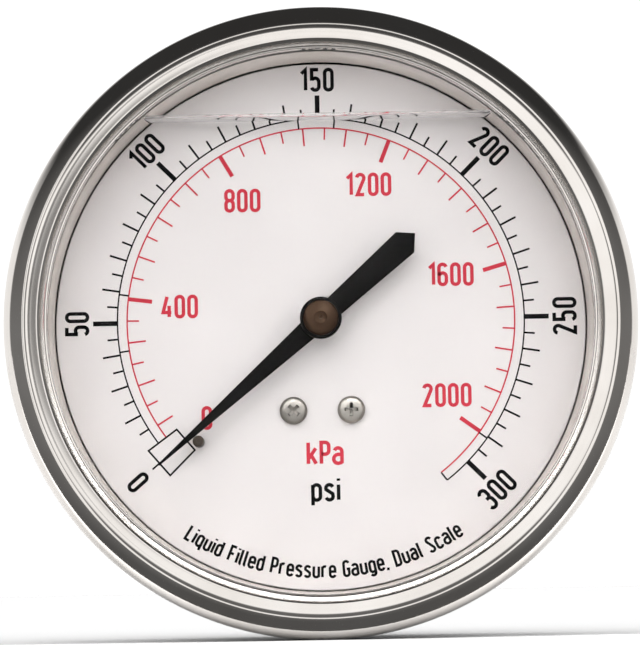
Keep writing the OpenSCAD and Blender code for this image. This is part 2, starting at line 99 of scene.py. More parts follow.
# -------- driving sizes, in millimetres
# BEZEL_DEPTH is the bezel's height along z, BEAD_R its bead's radius, and TURN the facets round a ring.
BEZEL_R = 55.0
BEZEL_IN_R = 53.8
BEZEL_DEPTH = 16.0
LIP_R = 47.2
BEAD_R = 4.7
CASE_R = 50.0
CASE_IN_R = 49.0
CASE_BACK = 1.2
DIAL_R = 46.6
SKIRT_TOP_R = 47.4
SKIRT_FOOT_R = 46.8
RIM_R = 53.3
RIM_GAP = 1.2
LIQUID_LEVEL = 35.3
ZERO_CLOCK = 228.8
TURN = 288

# -------- camera
CAMERA_DISTANCE = 0.520
CAMERA_DROP = 0.046
VIEW_WIDTH = 0.1105
CAMERA_ROLL = 1.0
AIM_SIDE = -0.00016
AIM_UP = -0.00038
SENSOR = 36.0


def make_camera():
    target = Vector((AXIS_X + AIM_SIDE, bezel_low.y + BEAD_R * MM, CASE_Z + AIM_UP))
    place = Vector((AXIS_X, bezel_low.y - CAMERA_DISTANCE, AXIS_Z - CAMERA_DROP))
    data = bpy.data.cameras.new("camera")
    data.sensor_width = SENSOR
    data.lens = SENSOR * CAMERA_DISTANCE / VIEW_WIDTH
    data.clip_start = 0.01
    data.clip_end = 20
    camera = bpy.data.objects.new("camera", data)
    bpy.context.collection.objects.link(camera)
    aim = (target - place).to_track_quat("-Z", "Y")
    camera.matrix_world = (Matrix.Translation(place) @ aim.to_matrix().to_4x4()
                           @ Matrix.Rotation(math.radians(-CAMERA_ROLL), 4, "Z"))
    bpy.context.scene.camera = camera
    bpy.context.scene.view_settings.view_transform = "Standard"


make_camera()


# -------- materials
# Noise lies mostly between these two values, so they are stretched over the whole of a finish's range.
NOISE_RANGE = (0.3, 0.7)


class Graph:
    """The nodes of a material or of the world, with short forms for adding and joining them."""

    def __init__(self, tree):
        self.nodes, self.links = tree.nodes, tree.links

    def feed(self, socket, value):
        if isinstance(value, bpy.types.NodeSocket):
            self.links.new(value, socket)
        else:
            socket.default_value = value

    def add(self, kind, *sources, **settings):
        """A node with its settings, its first inputs fed by sources."""
        node = self.nodes.new("ShaderNode" + kind)
        for key, value in settings.items():
            if key in node.inputs:
                node.inputs[key].default_value = value
            else:
                setattr(node, key, value)
        for socket, value in zip(node.inputs, sources):
            self.feed(socket, value)
        return node

    def noise(self, scale, detail=4.0):
        """Noise over object coordinates, in features per metre."""
        place = self.add("TexCoord").outputs["Object"]
        return self.add("TexNoise", place, Scale=scale, Detail=detail).outputs["Fac"]

    def turned(self, centre, scale):
        """Noise that runs in rings about an axis along Y through centre, as a lathe tool leaves it."""
        place = self.add("TexCoord").outputs["Object"]
        shift = self.add("VectorMath", place, centre, operation="SUBTRACT").outputs["Vector"]
        x, y, z = self.add("SeparateXYZ", shift).outputs
        flat = self.add("CombineXYZ", x, z).outputs["Vector"]
        radius = self.add("VectorMath", flat, operation="LENGTH").outputs["Value"]
        ring = self.add("CombineXYZ", radius, y).outputs["Vector"]
        return self.add("TexNoise", ring, Scale=scale, Detail=3.0).outputs["Fac"]

    def fade(self, value, edge, low=0.0, high=1.0):
        """Maps a value from the two ends of edge onto low and high, and holds it beyond them."""
        return self.add("MapRange", value, *edge, low, high).outputs["Result"]

    def tint(self, value, low, high):
        """Mixes two colours by a noise value."""
        ramp = self.add("ValToRGB", value)
        for stop, place, colour in zip(ramp.color_ramp.elements, NOISE_RANGE, (low, high)):
            stop.position = place
            stop.color = (*colour, 1)
        return ramp.outputs["Color"]

    def maths(self, operation, *values):
        return self.add("Math", *values, operation=operation).outputs["Value"]

    def product(self, first, *others):
        for other in others:
            first = self.maths("MULTIPLY", first, other)
        return first

    def without(self, value):
        return self.maths("SUBTRACT", 1.0, value)

    def mixed(self, share, low, high):
        """low where share is 0 and high where it is 1."""
        return self.maths("ADD", self.product(share, high), self.product(self.without(share), low))


def new_material(name):
    material = bpy.data.materials.new(name)
    material.use_nodes = True
    return material, Graph(material.node_tree), material.node_tree.nodes["Principled BSDF"].inputs


def finish(graph, sockets, skin, clouds, dark, light, rough, depth):
    """Colour that drifts with clouds, and roughness and a fine relief that follow the skin."""
    graph.feed(sockets["Base Color"], graph.tint(clouds, dark, light))
    graph.feed(sockets["Roughness"], graph.fade(skin, NOISE_RANGE, *rough))
    relief = graph.add("Bump", Strength=1.0, Distance=depth)
    graph.feed(relief.inputs["Height"], skin)
    graph.feed(sockets["Normal"], relief.outputs["Normal"])


def metal(name, dark, light, rough, grain, lathe_centre, depth):
    """Bare metal whose finish varies with its grain: turned rings about lathe_centre, or a fine cloud."""
    material, graph, sockets = new_material(name)
    sockets["Metallic"].default_value = 1.0
    skin = graph.turned(lathe_centre, grain) if lathe_centre else graph.noise(grain)
    finish(graph, sockets, skin, graph.noise(90, 3), dark, light, rough, depth)
    return material


def coated(name, dark, light, rough, grain, depth, specular=0.5):
    """Paint, plastic or rubber with a fine skin texture."""
    material, graph, sockets = new_material(name)
    sockets["Specular IOR Level"].default_value = specular
    finish(graph, sockets, graph.noise(grain), graph.noise(60, 2), dark, light, rough, depth)
    return material


def clear(name, colour, ior):
    material, _, sockets = new_material(name)
    sockets["Base Color"].default_value = (*colour, 1)
    sockets["Transmission Weight"].default_value = 1.0
    sockets["Roughness"].default_value = 0.0
    sockets["IOR"].default_value = ior
    return material


AXIS_POINT = (AXIS_X, 0.0, AXIS_Z)
CASE_POINT = (AXIS_X, 0.0, CASE_Z)
STEM_POINT = (0.0, 0.0, 0.0)
polished = metal("polished_steel", (0.72, 0.68, 0.64), (0.80, 0.765, 0.73),
    (0.07, 0.12), 900, CASE_POINT, 0.0000008)
satin = metal("satin_steel", (0.52, 0.51, 0.50), (0.62, 0.61, 0.60),
    (0.24, 0.36), 4000, AXIS_POINT, 0.000004)
turned_steel = metal("turned_steel", (0.56, 0.55, 0.54), (0.68, 0.67, 0.66),
    (0.20, 0.34), 5000, STEM_POINT, 0.000005)
screw_steel = metal("screw_steel", (0.27, 0.255, 0.235), (0.40, 0.38, 0.35),
    (0.34, 0.48), 3000, None, 0.000012)
pin_steel = metal("pin_steel", (0.05, 0.04, 0.035), (0.10, 0.085, 0.07),
    (0.30, 0.45), 3000, None, 0.000006)
arbor_steel = metal("arbor_steel", (0.55, 0.55, 0.55), (0.68, 0.68, 0.67),
    (0.18, 0.30), 6000, AXIS_POINT, 0.000003)
tube_steel = metal("tube_steel", (0.44, 0.40, 0.34), (0.58, 0.55, 0.50),
    (0.26, 0.40), 2000, None, 0.000006)
movement_brass = metal("movement_brass", (0.62, 0.45, 0.20), (0.78, 0.60, 0.30),
    (0.24, 0.38), 3500, None, 0.000005)
spring_bronze = metal("spring_bronze", (0.45, 0.30, 0.16), (0.62, 0.44, 0.26),
    (0.20, 0.32), 4000, None, 0.000003)
cap_bronze = metal("cap_bronze", (0.040, 0.024, 0.016), (0.125, 0.080, 0.055),
    (0.40, 0.58), 900, None, 0.00005)
needle_black = coated("needle_black", (0.004, 0.004, 0.004), (0.009, 0.008, 0.008),
    (0.42, 0.60), 2600, 0.00001, specular=0.10)
white_enamel = coated("white_enamel", (0.85, 0.81, 0.805), (0.89, 0.85, 0.845),
    (0.32, 0.42), 1500, 0.000003)
gasket_white = coated("gasket_white", (0.84, 0.78, 0.72), (0.90, 0.85, 0.80),
    (0.34, 0.50), 1400, 0.000012)
black_rubber = coated("black_rubber", (0.010, 0.010, 0.010), (0.018, 0.018, 0.017),
    (0.55, 0.75), 1600, 0.00004)
ink_black = coated("ink_black", (0.004, 0.004, 0.005), (0.008, 0.007, 0.007),
    (0.45, 0.60), 2500, 0.000004, specular=0.10)
ink_red = coated("ink_red", (0.62, 0.035, 0.060), (0.70, 0.050, 0.080),
    (0.45, 0.60), 2500, 0.000004, specular=0.15)
pane_glass = clear("pane_glass", (0.995, 0.996, 0.995), 1.50)
# Glycerin's real index is 1.47. The lower one keeps the dial as bright as the real dial looks.
glycerin = clear("glycerin", (0.998, 0.994, 0.990), 1.15)


# -------- mesh helpers
def object_from(name, verts, faces, material, sharp=32, world=False):
    mesh = bpy.data.meshes.new(name)
    points = np.asarray(verts, float) if world else to_world(verts)
    mesh.from_pydata([tuple(v) for v in points], [], faces)
    finish_mesh(mesh, sharp)
    mesh.materials.append(material)
    piece = bpy.data.objects.new(name, mesh)
    bpy.context.collection.objects.link(piece)
    return piece


def finish_mesh(mesh, sharp):
    """Joins doubled points, turns faces outwards and smooths all but sharp edges."""
    bm = bmesh.new()
    bm.from_mesh(mesh)
    bmesh.ops.remove_doubles(bm, verts=bm.verts, dist=1e-7)
    bmesh.ops.recalc_face_normals(bm, faces=bm.faces)
    bm.to_mesh(mesh)
    bm.free()
    for polygon in mesh.polygons:
        polygon.use_smooth = True
    mesh.set_sharp_from_angle(angle=math.radians(sharp))


def arc(centre, r, a0, a1, steps=8):
    """Points on an arc about centre from direction a0 to a1, in degrees."""
    return [(centre[0] + r * math.cos(math.radians(a0 + (a1 - a0) * i / steps)),
             centre[1] + r * math.sin(math.radians(a0 + (a1 - a0) * i / steps))) for i in range(steps + 1)]


def lathe_mesh(profile, centre=(0, 0), turn=TURN):
    """A closed outline of (r, z) points spun about the axis through centre."""
    verts, faces, rings = [], [], []
    for r, z in profile:
        if r < 1e-6:
            rings.append([len(verts)] * turn)
            verts.append((centre[0], centre[1], z))
        else:
            rings.append(list(range(len(verts), len(verts) + turn)))
            for k in range(turn):
                a = 2 * math.pi * k / turn
                verts.append((centre[0] + r * math.cos(a), centre[1] + r * math.sin(a), z))
    for i in range(len(rings)):
        one, two = rings[i], rings[(i + 1) % len(rings)]
        if one[0] == one[1] and two[0] == two[1]:
            continue
        for k in range(turn):
            n = (k + 1) % turn
            face = [one[k], one[n], two[n], two[k]]
            face = [v for j, v in enumerate(face) if v != face[j - 1]]
            if len(face) > 2:
                faces.append(face)
    return verts, faces


def lathe(name, profile, material, centre=(0, 0), turn=TURN, sharp=32):
    return object_from(name, *lathe_mesh(profile, centre, turn), material, sharp)


def slab_mesh(outline, z0, z1):
    """A flat outline of (x, y) points as a plate from z0 to z1."""
    n = len(outline)
    verts = [(x, y, z0) for x, y in outline] + [(x, y, z1) for x, y in outline]
    faces = [list(range(n))[::-1], list(range(n, 2 * n))]
    faces += [[i, (i + 1) % n, n + (i + 1) % n, n + i] for i in range(n)]
    return verts, faces


def slab(name, outline, z0, z1, material, edge=0.0, sharp=32):
    """A plate with its edges rounded by a small bevel."""
    piece = object_from(name, *slab_mesh(outline, z0, z1), material, sharp)
    if edge:
        bevel(piece, edge, sharp)
    return piece


def bevel(piece, width, sharp=32):
    bm = bmesh.new()
    bm.from_mesh(piece.data)
    edges = [e for e in bm.edges if len(e.link_faces) == 2 and e.calc_face_angle(0) > math.radians(sharp)]
    bmesh.ops.bevel(bm, geom=edges, offset=width * MM, segments=3, affect="EDGES", profile=0.5)
    bm.to_mesh(piece.data)
    bm.free()
    finish_mesh(piece.data, sharp + 8)


def joined(name, pieces):
    """Several meshes as one piece."""
    bm = bmesh.new()
    materials = []
    for piece in pieces:
        for slot in piece.data.materials:
            if slot not in materials:
                materials.append(slot)
        start = len(bm.faces)
        bm.from_mesh(piece.data)
        bm.faces.ensure_lookup_table()
        for face in bm.faces[start:]:
            face.material_index = materials.index(piece.data.materials[face.material_index])
    mesh = bpy.data.meshes.new(name)
    bm.to_mesh(mesh)
    bm.free()
    for material in materials:
        mesh.materials.append(material)
    for piece in pieces:
        bpy.data.objects.remove(piece, do_unlink=True)
    result = bpy.data.objects.new(name, mesh)
    bpy.context.collection.objects.link(result)
    return result


def cut(piece, cutters, operation="DIFFERENCE", sharp=32):
    """Cuts pieces away with exact booleans and removes them."""
    for cutter in cutters:
        modifier = piece.modifiers.new("cut", "BOOLEAN")
        modifier.operation = operation
        modifier.solver = "EXACT"
        modifier.object = cutter
    graph = bpy.context.evaluated_depsgraph_get()
    mesh = bpy.data.meshes.new_from_object(piece.evaluated_get(graph))
    piece.modifiers.clear()
    piece.data = mesh
    for cutter in cutters:
        bpy.data.objects.remove(cutter, do_unlink=True)
    finish_mesh(mesh, sharp)
    return piece


def rod(name, centre, r, z0, z1, turn=64):
    """A plain round cutter along the gauge's axis."""
    return lathe(name, [(0, z0), (r, z0), (r, z1), (0, z1)], satin, centre, turn)


def place_piece(piece, body, slot, *nodes):
    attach(piece, body)
    if nodes:
        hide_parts(*nodes)
    return piece


# -------- bezel
TAB_COUNT = 6
TAB_ANGLE = 18.0
TAB_Z = 36.6
TAB_T = 1.6
TAB_IN_R = 51.4
SHEET_T = 1.2
FOOT_ROLL_R = 0.45
SLOPE_R = 0.3
CROWN_DIP = 0.035
SLOPE_TILT = 48.0


def bezel_profile():
    """The rolled sheet's outline: outer wall, bead, a flat crown with a fine step and a slight dip inwards,
    a slope down to the window, and the lip that is rolled under it."""
    roll_z = FRONT_Z - BEZEL_DEPTH + FOOT_ROLL_R
    bead = (BEZEL_R - BEAD_R, FRONT_Z - BEAD_R)
    outer = arc((BEZEL_R - FOOT_ROLL_R, roll_z), FOOT_ROLL_R, -90, 0, 5) + arc(bead, BEAD_R, 0, 76, 30)
    crown = [(51.30, FRONT_Z - 0.13), (51.12, FRONT_Z - 0.14), (50.95, FRONT_Z - 0.09), (50.3, FRONT_Z),
             (50.15, FRONT_Z - 0.02), (50.0, FRONT_Z - 0.005), (LIP_R + 1.85, FRONT_Z - CROWN_DIP)]
    edge = (LIP_R + 1.65, FRONT_Z - CROWN_DIP - SLOPE_R)
    slope = arc(edge, SLOPE_R, 90, 90 + SLOPE_TILT, 4)
    foot_z = slope[-1][1] - (slope[-1][0] - LIP_R - 0.5) * math.tan(math.radians(SLOPE_TILT))
    lip = [(LIP_R + 0.5, foot_z), (LIP_R + 0.44, foot_z - 0.12), (LIP_R + 0.36, foot_z - 0.15)]
    lip += arc((LIP_R + 0.15, foot_z - 0.32), 0.15, 95, 180, 6)
    lip += [(LIP_R, WINDOW_FRONT_Z + 0.05), (LIP_R + 1.4, WINDOW_FRONT_Z + 0.05)]
    inner = arc(bead, BEAD_R - SHEET_T, 88, 0, 12)
    inner += arc((BEZEL_IN_R + FOOT_ROLL_R, roll_z), FOOT_ROLL_R, 180, 270, 5)
    return outer + crown + slope + lip + inner


def ring_block(name, r0, r1, z0, z1, middle, width, steps=10):
    """A short piece of a ring, used for the bayonet tabs and their notches."""
    angles = [middle - width / 2 + width * i / steps for i in range(steps + 1)]
    outline = [polar(r1, a) for a in angles] + [polar(r0, a) for a in reversed(angles)]
    return slab(name, [(u, v - RISE) for u, v in outline], z0, z1, polished)


def make_bezel():
    ring = lathe("bezel_ring_polished", bezel_profile(), polished, CASE_C, TURN, 50)
    tabs = []
    for i in range(TAB_COUNT):
        middle = i * 360 / TAB_COUNT
        tab = ring_block(f"tab_{i}", TAB_IN_R, BEZEL_IN_R + 0.5, TAB_Z, TAB_Z + TAB_T, middle, TAB_ANGLE)
        bevel(tab, 0.25)
        tabs.append(tab)
    place_piece(joined("bezel_polished", [ring] + tabs), "bezel", "polished_steel", "bezel_ring")


make_bezel()


# -------- window, liquid and gasket
WINDOW_R = 51.9


def make_window():
    r, edge = WINDOW_R, 0.35
    profile = [(0, WINDOW_BACK_Z), (r - edge, WINDOW_BACK_Z), (r, WINDOW_BACK_Z + edge)]
    profile += [(r, WINDOW_FRONT_Z - edge), (r - edge, WINDOW_FRONT_Z), (0, WINDOW_FRONT_Z)]
    place_piece(lathe("window_pane", profile, pane_glass, CASE_C, sharp=20), "root", "window_glass", "window")


LIQUID_GAP = 0.04
MENISCUS_RISE = 0.45
MENISCUS_REACH = 0.5


def make_liquid():
    """The filling from the window's back to behind the dial's face. Its level top curves up at the window
    and at the dial."""
    z0, z1 = DIAL_BACK_Z + 0.35, WINDOW_BACK_Z - LIQUID_GAP
    foot_r, top_r = SKIRT_FOOT_R + 0.25, SKIRT_TOP_R + 0.25
    body = lathe("liquid", [(0, z0), (foot_r, z0), (foot_r, DIAL_Z + 0.3), (top_r, z1), (0, z1)], glycerin,
                 CASE_C, sharp=20)
    steps = 40
    curve = []
    for i in range(steps + 1):
        z = z0 - 1 + (z1 - z0 + 2) * i / steps
        wall = min(abs(z1 - min(z, z1)), abs(max(z, DIAL_Z) - DIAL_Z))
        curve.append((z, LIQUID_LEVEL + MENISCUS_RISE * math.exp(-wall / MENISCUS_REACH)))
    clear_of = BEZEL_R + 5
    outline = curve + [(curve[-1][0], clear_of), (curve[0][0], clear_of)]
    n = len(outline)
    verts = [(-clear_of, y, z) for z, y in outline] + [(clear_of, y, z) for z, y in outline]
    faces = [list(range(n)), list(range(n, 2 * n))[::-1]]
    faces += [[i, (i + 1) % n, n + (i + 1) % n, n + i] for i in range(n)]
    cut(body, [object_from("liquid_top", verts, faces, glycerin)], sharp=30)
    place_piece(body, "root", "window_glass")


def make_gasket():
    """A channel round the window's edge, with a skirt down to the dial."""
    rim_z, cover_z = WINDOW_BACK_Z - RIM_GAP, WINDOW_FRONT_Z - 0.3
    foot_r = 0.3
    profile = [(RIM_R, rim_z), (RIM_R, cover_z), (WINDOW_R + 0.05, cover_z), (WINDOW_R + 0.05, WINDOW_BACK_Z)]
    profile += [(SKIRT_TOP_R, WINDOW_BACK_Z), (SKIRT_TOP_R - 0.1, WINDOW_BACK_Z - 0.5)]
    profile += arc((SKIRT_FOOT_R + foot_r, DIAL_Z + 2 * foot_r), foot_r, 180, 360, 6)
    profile += [(SKIRT_TOP_R + 0.5, rim_z)]
    skirt = lathe("gasket_skirt", profile, gasket_white, CASE_C, sharp=40)
    place_piece(skirt, "root", "gasket_white", "window_gasket")


make_window()
make_liquid()
make_gasket()


# -------- dial plate and its furniture
SCREW_PLACES = [(-5.075, -15.9), (5.075, -15.9)]
SCREW_R = 2.425
SCREW_HEIGHT = 1.5
STOP_PLACE = clock(30.3, ZERO_CLOCK - 3.0)
STOP_R = 1.0
STOP_SHANK_R = 0.7


def make_dial():
    edge = 0.12
    profile = [(0, DIAL_BACK_Z), (DIAL_R, DIAL_BACK_Z), (DIAL_R, DIAL_Z - edge)]
    profile += [(DIAL_R - edge, DIAL_Z), (0, DIAL_Z)]
    plate = lathe("dial_plate", profile, white_enamel, CASE_C)
    places = [(p, 1.4) for p in SCREW_PLACES] + [((0, 0), 3.0), (STOP_PLACE, STOP_SHANK_R + 0.02)]
    holes = [rod("hole", p, r, DIAL_BACK_Z - 1, DIAL_Z + 1) for p, r in places]
    place_piece(cut(plate, holes), "root", "dial_white", "dial")


def cross_cutter(centre, size, depth, turn):
    """A cross-shaped driver tip: two tapering blades that meet in a point."""
    blades = []
    for a in (turn, turn + 90):
        c, s = math.cos(math.radians(a)), math.sin(math.radians(a))
        flank = (size * 0.36, -depth * 0.55)
        corners = [(-size / 2, 0.6), (size / 2, 0.6), flank, (0, -depth), (-flank[0], flank[1])]
        verts, half = [], size * 0.115
        for side in (-half, half):
            verts += [(centre[0] + u * c - side * s, centre[1] + u * s + side * c, v) for u, v in corners]
        faces = [[0, 1, 2, 3, 4], [9, 8, 7, 6, 5]]
        faces += [[i, (i + 1) % 5, 5 + (i + 1) % 5, 5 + i] for i in range(5)]
        blades.append(object_from("blade", verts, faces, screw_steel))
    return blades


def pan_screw(name, centre, r, z, height, size, turn, shank_r, shank_end, direction=1):
    """A domed screw with a cross recess of the given size, turned by turn. Its head rises from z along
    direction, which is 1 towards the reader and -1 away."""
    dome = [(r * 0.96, 0), (r, 0.12 * height), (r, 0.40 * height)]
    dome += [(r * math.cos(math.radians(a)) ** 0.6, height * (0.40 + 0.60 * math.sin(math.radians(a))))
             for a in range(12, 84, 8)]
    profile = [(0, shank_end), (shank_r - 0.2, shank_end), (shank_r, shank_end + direction * 0.25)]
    profile += [(shank_r, z)]
    profile += [(pr, z + direction * pz) for pr, pz in dome] + [(0, z + direction * height)]
    head = lathe(name, profile, screw_steel, centre, 64, 40)
    top = z + direction * height
    blades = cross_cutter(centre, size, height * 0.72, turn)
    for blade in blades:
        for v in blade.data.vertices:
            depth = depth_of(v.co.y)
            v.co.y = BACK_Y - (top + direction * (depth - 0.12)) * MM
    return cut(head, blades, sharp=40)


def make_dial_screws():
    screws = [pan_screw(f"screw_{i}", p, SCREW_R, DIAL_Z, SCREW_HEIGHT, 2.7, turn, 1.25, DIAL_Z - 3.2)
              for i, (p, turn) in enumerate(zip(SCREW_PLACES, (45, 0)))]
    place_piece(joined("dial_screw_pair", screws), "root", "screw_steel", "dial_screws")


def make_stop_pin():
    r, foot, top = STOP_R, DIAL_BACK_Z - 0.5, POINTER_TOP_Z + 0.2
    profile = [(0, foot), (STOP_SHANK_R, foot), (STOP_SHANK_R, DIAL_Z), (r - 0.12, DIAL_Z)]
    profile += [(r, DIAL_Z + 0.12), (r, top - 0.35)] + arc((r - 0.35, top - 0.35), 0.35, 10, 90, 5)
    profile += [(0.35, top), (0.3, top - 0.15), (0, top - 0.2)]
    place_piece(lathe("stop_peg", profile, pin_steel, STOP_PLACE, 64), "root", "pin_black", "stop_pin")


make_dial()
make_dial_screws()
make_stop_pin()

# -------- printed scales
INK_Z = DIAL_Z + 0.015
INK_T = 0.02
FONT_HEIGHT = 0.853
FONT_WIDTH = 0.303
FONT_X = 0.62
FONT_R = FONT_WIDTH / 2
FONT_STROKE = 0.147


def loop(x0, y0, x1, y1):
    """A round-ended box traced anticlockwise from its top."""
    r = min(x1 - x0, y1 - y0) / 2
    corners = [(x0 + r, y1 - r, 90), (x0 + r, y0 + r, 180), (x1 - r, y0 + r, 270), (x1 - r, y1 - r, 0)]
    points = []
    for cx, cy, a in corners:
        points += arc((cx, cy), r, a, a + 90, 9)
    return points


def glyph(letter):
    """The strokes of one letter, as point lists along the middle of the pen, and its width. The baseline
    is at 0, capitals and digits reach h, and small letters x."""
    w, h, x, r = FONT_WIDTH, FONT_HEIGHT, FONT_X, FONT_R
    mid = 0.50 * h
    if letter == "0":
        return [loop(0, 0, w, h)], w
    if letter == "1":
        return [[(0, h - 0.16), (0.17, h), (0.17, 0)]], 0.17
    if letter == "2":
        top = arc((r, h - r), r, 170, -25, 12)
        return [top + [(0.02, 0.0), (w, 0.0)]], w
    if letter == "3":
        waist = (0.10, mid + 0.02)
        upper = arc((r, h - r), r, 165, 0, 10) + arc((w - 0.11, mid + 0.13), 0.11, 0, -90, 5) + [waist]
        lower = [waist] + arc((w - 0.13, mid - 0.11), 0.13, 90, 0, 5) + arc((r, r), r, 0, -165, 10)
        return [upper, lower], w
    if letter == "4":
        return [[(0.16, h), (-0.01, 0.19), (w + 0.03, 0.19)], [(w * 0.80, 0.47), (w * 0.80, 0)]], w
    if letter == "5":
        bowl = arc((r, mid - 0.08), r, 150, 0, 8) + arc((r, r), r, 0, -165, 10)
        return [[(w * 0.94, h), (0.01, h), (0.01, mid - 0.03)], bowl], w
    if letter == "6":
        body = arc((r, h - r), r, 15, 180, 9) + arc((r, r), r, 180, 360, 12)
        return [body + arc((r, mid + 0.06 - r), r, 0, 165, 9)], w
    if letter == "8":
        return [loop(0, mid + 0.01, w, h), loop(0, 0, w, mid + 0.01)], w
    small = {
        "a": [arc((r, x - r), r, 160, 0, 9) + [(w, 0)],
              [(w, 0.36), (r, 0.36)] + arc((r, 0.18), 0.18, 90, 270, 8)[1:] + [(w, 0.04)]],
        "c": [arc((r, x - r), r, 10, 180, 9) + arc((r, r), r, 180, 350, 9)],
        "d": [loop(0, 0, w, x), [(w, h), (w, 0)]],
        "e": [[(0, 0.5 * x), (w, 0.5 * x)] + arc((r, x - r), r, 0, 180, 10) + arc((r, r), r, 180, 345, 9)],
        "g": [loop(0, 0, w, x), [(w, x)] + arc((r, -0.05), r, 0, -150, 8)],
        "i": [[(0, 0), (0, x)], [(0, x + 0.15), (0, x + 0.25)]],
        "k": [[(0, 0), (0, h)], [(w, x), (0.02, 0.22)], [(0.36 * w, 0.36), (w * 1.03, 0)]],
        "l": [[(0, h)] + arc((0.09, 0.09), 0.09, 180, 270, 4)],
        "p": [[(0, x), (0, -0.21)], loop(0, 0, w, x)],
        "q": [[(w, x), (w, -0.21)], loop(0, 0, w, x)],
        "r": [[(0, 0), (0, x)], arc((r, x - r), r, 180, 60, 8)],
        "s": [arc((r, x - r * 0.96), r * 0.96, 20, 200, 8) + [(w * 0.92, 0.25)]
              + arc((r, r * 0.96), r * 0.96, 20, -160, 8)],
        "u": [[(0, x), (0, r)] + arc((r, r), r, 180, 360, 9), [(w, x), (w, 0)]],
        "D": [[(0, 0), (0, h), (w - r, h)] + arc((w - r, h - r), r, 90, 0, 6)
              + arc((w - r, r), r, 0, -90, 6) + [(0, 0)]],
        "F": [[(0, 0), (0, h), (w * 0.95, h)], [(0, mid), (w * 0.8, mid)]],
        "G": [arc((r, h - r), r, 15, 180, 9) + arc((r, r), r, 180, 360, 10) + [(w, 0.40), (0.55 * w, 0.40)]],
        "L": [[(0, h), (0, 0), (w * 0.9, 0)]],
        "P": [[(0, 0), (0, h), (w - r, h)] + arc((w - r, h - r), r, 90, 0, 6)
              + arc((w - r, mid + r - 0.05), r, 0, -90, 6) + [(0, mid - 0.05)]],
        "S": [arc((r, h - r), r, 15, 190, 9) + arc((r, r), r, 20, -165, 11)],
        ",": [[(0.02, 0.04), (-0.02, -0.12)]],
    }
    widths = {"i": 0.0, "l": 0.06, "r": 0.24, ",": 0.0, " ": 0.10, "L": 0.27, "F": 0.29}
    return small.get(letter, []), widths.get(letter, w)


class Print:
    """Collects flat ink strokes and makes one thin mesh of them."""

    def __init__(self):
        self.verts = []
        self.faces = []
        self.count = 0

    def ribbon(self, points, width):
        """A flat stroke of constant width along points. One that ends where it starts is closed."""
        p = np.asarray(points, float)
        keep = [0] + [i for i in range(1, len(p)) if np.linalg.norm(p[i] - p[i - 1]) > 1e-4]
        p = p[keep]
        closed = np.linalg.norm(p[0] - p[-1]) < 1e-3 and len(p) > 3
        if closed:
            p = p[:-1]
        ahead = np.roll(p, -1, 0) - p
        behind = p - np.roll(p, 1, 0)
        if not closed:
            ahead[-1], behind[0] = behind[-1], ahead[0]
        ahead /= np.linalg.norm(ahead, axis=1)[:, None]
        behind /= np.linalg.norm(behind, axis=1)[:, None]
        middle = ahead + behind
        middle /= np.maximum(np.linalg.norm(middle, axis=1), 1e-6)[:, None]
        normal = np.column_stack((-middle[:, 1], middle[:, 0]))
        stretch = 1 / np.maximum((middle * ahead).sum(1), 0.45)
        reach = normal * (stretch * width / 2)[:, None]
        self.strip(p + reach, p - reach, closed)

    def strip(self, left, right, closed):
        """A thin solid between two rows of points."""
        n, base = len(left), len(self.verts)
        z0, z1 = DIAL_Z, INK_Z + INK_T + 0.0015 * (self.count % 4)
        self.count += 1
        for z in (z0, z1):
            self.verts += [(x, y, z) for x, y in left] + [(x, y, z) for x, y in right]
        l0, r0, l1, r1 = base, base + n, base + 2 * n, base + 3 * n
        for i in range(n if closed else n - 1):
            j = (i + 1) % n
            self.faces += [[l1 + i, r1 + i, r1 + j, l1 + j], [l0 + i, l0 + j, r0 + j, r0 + i],
                           [l0 + i, l1 + i, l1 + j, l0 + j], [r0 + i, r0 + j, r1 + j, r1 + i]]
        if not closed:
            self.faces += [[l0, r0, r1, l1], [l0 + n - 1, l1 + n - 1, r1 + n - 1, r0 + n - 1]]

    def tick(self, r0, r1, angle, width):
        self.ribbon([clock(r0, angle), clock(r1, angle)], width)

    def sweep(self, r, a0, a1, width):
        steps = max(2, int(abs(a1 - a0)))
        self.ribbon([clock(r, a0 + (a1 - a0) * i / steps) for i in range(steps + 1)], width)

    def word(self, text, height, place, turn, gap):
        """A straight word whose cap height is height, centred on place and turned anticlockwise."""
        widths = [glyph(letter)[1] + FONT_STROKE for letter in text]
        total = sum(widths) + (gap - FONT_STROKE) * (len(text) - 1)
        pen = -total / 2 + FONT_STROKE / 2
        c, s = math.cos(math.radians(turn)), math.sin(math.radians(turn))
        for letter, width in zip(text, widths):
            for line in glyph(letter)[0]:
                flat = [((pen + u) * height, (v - FONT_HEIGHT / 2) * height) for u, v in line]
                points = [(place[0] + x * c - y * s, place[1] + x * s + y * c) for x, y in flat]
                self.ribbon(points, FONT_STROKE * height)
            pen += width - FONT_STROKE + gap

    def curved(self, text, height, r_base, middle, gap, stroke):
        """Words along the dial's bottom, their tops towards the centre, centred on clock angle middle."""
        total = sum(glyph(letter)[1] + gap for letter in text) - gap
        pen = -total / 2
        for letter in text:
            strokes, width = glyph(letter)
            for line in strokes:
                bent = []
                for u, v in line:
                    angle = middle - math.degrees((pen + u) * height / r_base)
                    bent.append(clock(r_base - v * height, angle))
                self.ribbon(bent, stroke * height)
            pen += width + gap

    def piece(self, name, material):
        piece = object_from(name, self.verts, self.faces, material, 25)
        return place_piece(piece, "root", "dial_white")


